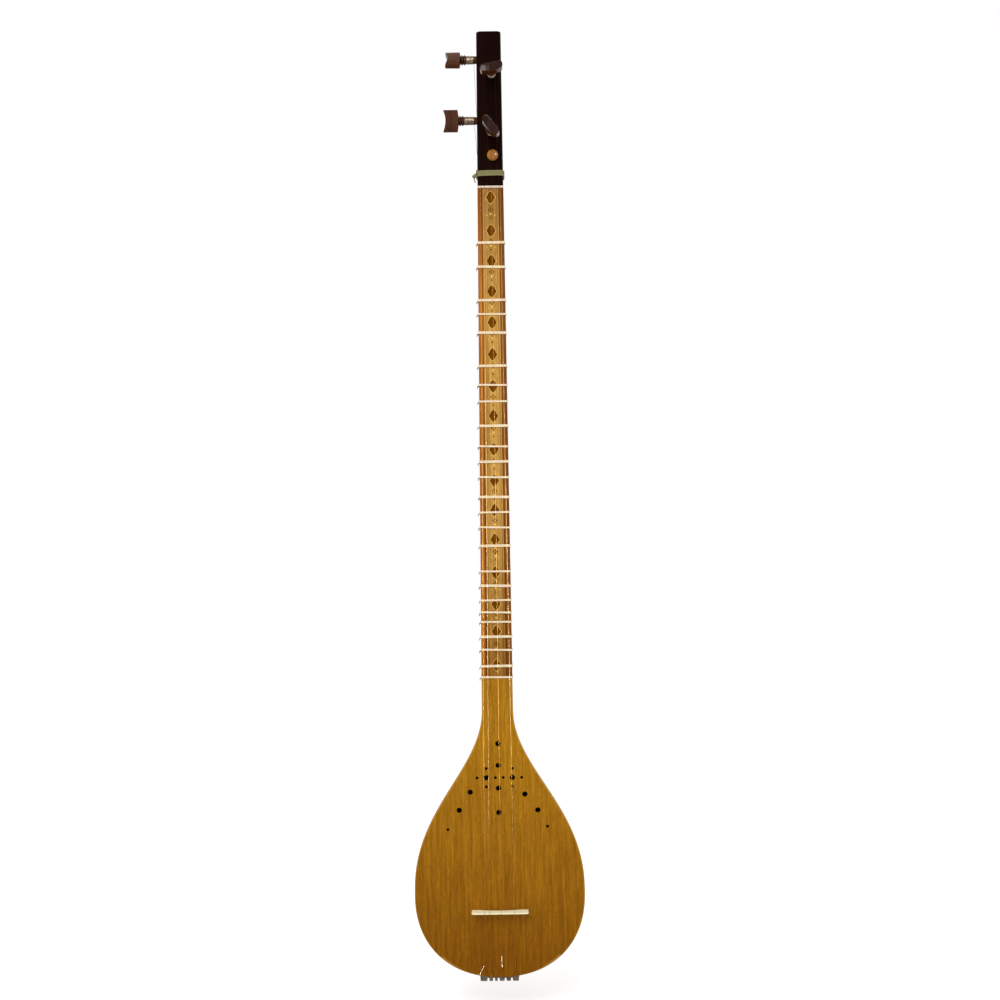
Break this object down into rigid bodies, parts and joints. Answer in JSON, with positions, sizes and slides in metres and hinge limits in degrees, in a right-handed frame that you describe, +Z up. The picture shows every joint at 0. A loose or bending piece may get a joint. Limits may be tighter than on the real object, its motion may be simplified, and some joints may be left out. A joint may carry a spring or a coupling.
{
  "type": "setar",
  "caption": "Long necked lute with a ribbed pear-shaped bowl, wooden soundboard, tied gut frets, turning pegs and a sliding bridge.",
  "frame": {"origin": "on the flat back face of the head, on its centre line, 17.4 mm below the head's top and above all the pegs", "axes": "+Z up along the neck towards the head's top, +Y out of the instrument's back (the soundboard faces -Y), +X to the right as seen from the soundboard's side"},
  "size_m": [0.1564, 0.158, 0.8734],
  "materials": {
    "soundboard": "oiled, straight grained mulberry",
    "bowl": "varnished mulberry or walnut ribs",
    "neck": "varnished walnut",
    "head": "polished dark wood",
    "fingerboard_panel": "varnished golden wood",
    "fingerboard_strip": "varnished red-brown wood",
    "bone": "polished bone",
    "comb": "horn",
    "gut": "twisted gut",
    "binding": "waxed cord",
    "peg": "polished hardwood",
    "pin": "polished hardwood",
    "string": "drawn wire"
  },
  "bodies": {
    "instrument": {"soundboard": "soundboard", "rib_1": "bowl", "rib_2": "bowl", "rib_3": "bowl", "rib_4": "bowl", "rib_5": "bowl", "rib_6": "bowl", "rib_7": "bowl", "rib_8": "bowl", "rib_9": "bowl", "tail_block": "bowl", "neck_block": "neck", "neck": "neck", "head": "head", "fingerboard_panel": "fingerboard_panel", "fingerboard_strip_left": "fingerboard_strip", "fingerboard_strip_right": "fingerboard_strip", "nut": "bone", "string_comb": "comb", "guide_pin": "pin", "string_binding": "binding", "string_left_outer": "string", "string_left_inner": "string", "string_middle": "string", "string_right": "string"},
    "peg_side_upper": {"peg_side_upper": "peg", "winding_side_upper": "string"},
    "peg_side_lower": {"peg_side_lower": "peg", "winding_side_lower": "string"},
    "peg_front_upper": {"peg_front_upper": "peg", "winding_front_upper": "string"},
    "peg_front_lower": {"peg_front_lower": "peg", "winding_front_lower": "string"},
    "bridge": {"bridge": "bone"},
    "fret_01": {"fret_01": "gut"},
    "fret_02": {"fret_02": "gut"},
    "fret_03": {"fret_03": "gut"},
    "fret_04": {"fret_04": "gut"},
    "fret_05": {"fret_05": "gut"},
    "fret_06": {"fret_06": "gut"},
    "fret_07": {"fret_07": "gut"},
    "fret_08": {"fret_08": "gut"},
    "fret_09": {"fret_09": "gut"},
    "fret_10": {"fret_10": "gut"},
    "fret_11": {"fret_11": "gut"},
    "fret_12": {"fret_12": "gut"},
    "fret_13": {"fret_13": "gut"},
    "fret_14": {"fret_14": "gut"},
    "fret_15": {"fret_15": "gut"},
    "fret_16": {"fret_16": "gut"},
    "fret_17": {"fret_17": "gut"},
    "fret_18": {"fret_18": "gut"},
    "fret_19": {"fret_19": "gut"},
    "fret_20": {"fret_20": "gut"},
    "fret_21": {"fret_21": "gut"},
    "fret_22": {"fret_22": "gut"},
    "fret_23": {"fret_23": "gut"},
    "fret_24": {"fret_24": "gut"},
    "fret_25": {"fret_25": "gut"}
  },
  "joints": [
    {"name": "peg_side_upper_turn", "type": "hinge", "parent": "instrument", "child": "peg_side_upper", "pos_m": [0, -0.0155, -0.008], "axis": [-1, 0, 0], "continuous": true},
    {"name": "peg_side_lower_turn", "type": "hinge", "parent": "instrument", "child": "peg_side_lower", "pos_m": [0, -0.0155, -0.064], "axis": [-1, 0, 0], "continuous": true},
    {"name": "peg_front_upper_turn", "type": "hinge", "parent": "instrument", "child": "peg_front_upper", "pos_m": [0.0023, -0.022, -0.0236], "axis": [0, -1, 0], "continuous": true},
    {"name": "peg_front_lower_turn", "type": "hinge", "parent": "instrument", "child": "peg_front_lower", "pos_m": [0.0011, -0.022, -0.0766], "axis": [0, -1, 0], "continuous": true},
    {"name": "bridge_slide", "type": "slide", "parent": "instrument", "child": "bridge", "axis": [0, 0, 1], "range_m": [-0.002, 0.004]},
    {"name": "tied_fret_01_slide", "type": "slide", "parent": "instrument", "child": "fret_01", "axis": [0, 0, 1], "range_m": [-0.003, 0.003]},
    {"name": "tied_fret_02_slide", "type": "slide", "parent": "instrument", "child": "fret_02", "axis": [0, 0, 1], "range_m": [-0.003, 0.003]},
    {"name": "tied_fret_03_slide", "type": "slide", "parent": "instrument", "child": "fret_03", "axis": [0, 0, 1], "range_m": [-0.003, 0.003]},
    {"name": "tied_fret_04_slide", "type": "slide", "parent": "instrument", "child": "fret_04", "axis": [0, 0, 1], "range_m": [-0.003, 0.003]},
    {"name": "tied_fret_05_slide", "type": "slide", "parent": "instrument", "child": "fret_05", "axis": [0, 0, 1], "range_m": [-0.003, 0.003]},
    {"name": "tied_fret_06_slide", "type": "slide", "parent": "instrument", "child": "fret_06", "axis": [0, 0, 1], "range_m": [-0.003, 0.003]},
    {"name": "tied_fret_07_slide", "type": "slide", "parent": "instrument", "child": "fret_07", "axis": [0, 0, 1], "range_m": [-0.003, 0.003]},
    {"name": "tied_fret_08_slide", "type": "slide", "parent": "instrument", "child": "fret_08", "axis": [0, 0, 1], "range_m": [-0.003, 0.003]},
    {"name": "tied_fret_09_slide", "type": "slide", "parent": "instrument", "child": "fret_09", "axis": [0, 0, 1], "range_m": [-0.003, 0.003]},
    {"name": "tied_fret_10_slide", "type": "slide", "parent": "instrument", "child": "fret_10", "axis": [0, 0, 1], "range_m": [-0.003, 0.003]},
    {"name": "tied_fret_11_slide", "type": "slide", "parent": "instrument", "child": "fret_11", "axis": [0, 0, 1], "range_m": [-0.003, 0.003]},
    {"name": "tied_fret_12_slide", "type": "slide", "parent": "instrument", "child": "fret_12", "axis": [0, 0, 1], "range_m": [-0.003, 0.003]},
    {"name": "tied_fret_13_slide", "type": "slide", "parent": "instrument", "child": "fret_13", "axis": [0, 0, 1], "range_m": [-0.003, 0.003]},
    {"name": "tied_fret_14_slide", "type": "slide", "parent": "instrument", "child": "fret_14", "axis": [0, 0, 1], "range_m": [-0.003, 0.003]},
    {"name": "tied_fret_15_slide", "type": "slide", "parent": "instrument", "child": "fret_15", "axis": [0, 0, 1], "range_m": [-0.003, 0.003]},
    {"name": "tied_fret_16_slide", "type": "slide", "parent": "instrument", "child": "fret_16", "axis": [0, 0, 1], "range_m": [-0.003, 0.003]},
    {"name": "tied_fret_17_slide", "type": "slide", "parent": "instrument", "child": "fret_17", "axis": [0, 0, 1], "range_m": [-0.003, 0.003]},
    {"name": "tied_fret_18_slide", "type": "slide", "parent": "instrument", "child": "fret_18", "axis": [0, 0, 1], "range_m": [-0.003, 0.003]},
    {"name": "tied_fret_19_slide", "type": "slide", "parent": "instrument", "child": "fret_19", "axis": [0, 0, 1], "range_m": [-0.003, 0.003]},
    {"name": "tied_fret_20_slide", "type": "slide", "parent": "instrument", "child": "fret_20", "axis": [0, 0, 1], "range_m": [-0.003, 0.003]},
    {"name": "tied_fret_21_slide", "type": "slide", "parent": "instrument", "child": "fret_21", "axis": [0, 0, 1], "range_m": [-0.003, 0.003]},
    {"name": "tied_fret_22_slide", "type": "slide", "parent": "instrument", "child": "fret_22", "axis": [0, 0, 1], "range_m": [-0.003, 0.003]},
    {"name": "tied_fret_23_slide", "type": "slide", "parent": "instrument", "child": "fret_23", "axis": [0, 0, 1], "range_m": [-0.003, 0.003]},
    {"name": "tied_fret_24_slide", "type": "slide", "parent": "instrument", "child": "fret_24", "axis": [0, 0, 1], "range_m": [-0.003, 0.003]},
    {"name": "tied_fret_25_slide", "type": "slide", "parent": "instrument", "child": "fret_25", "axis": [0, 0, 1], "range_m": [-0.003, 0.003]}
  ]
}
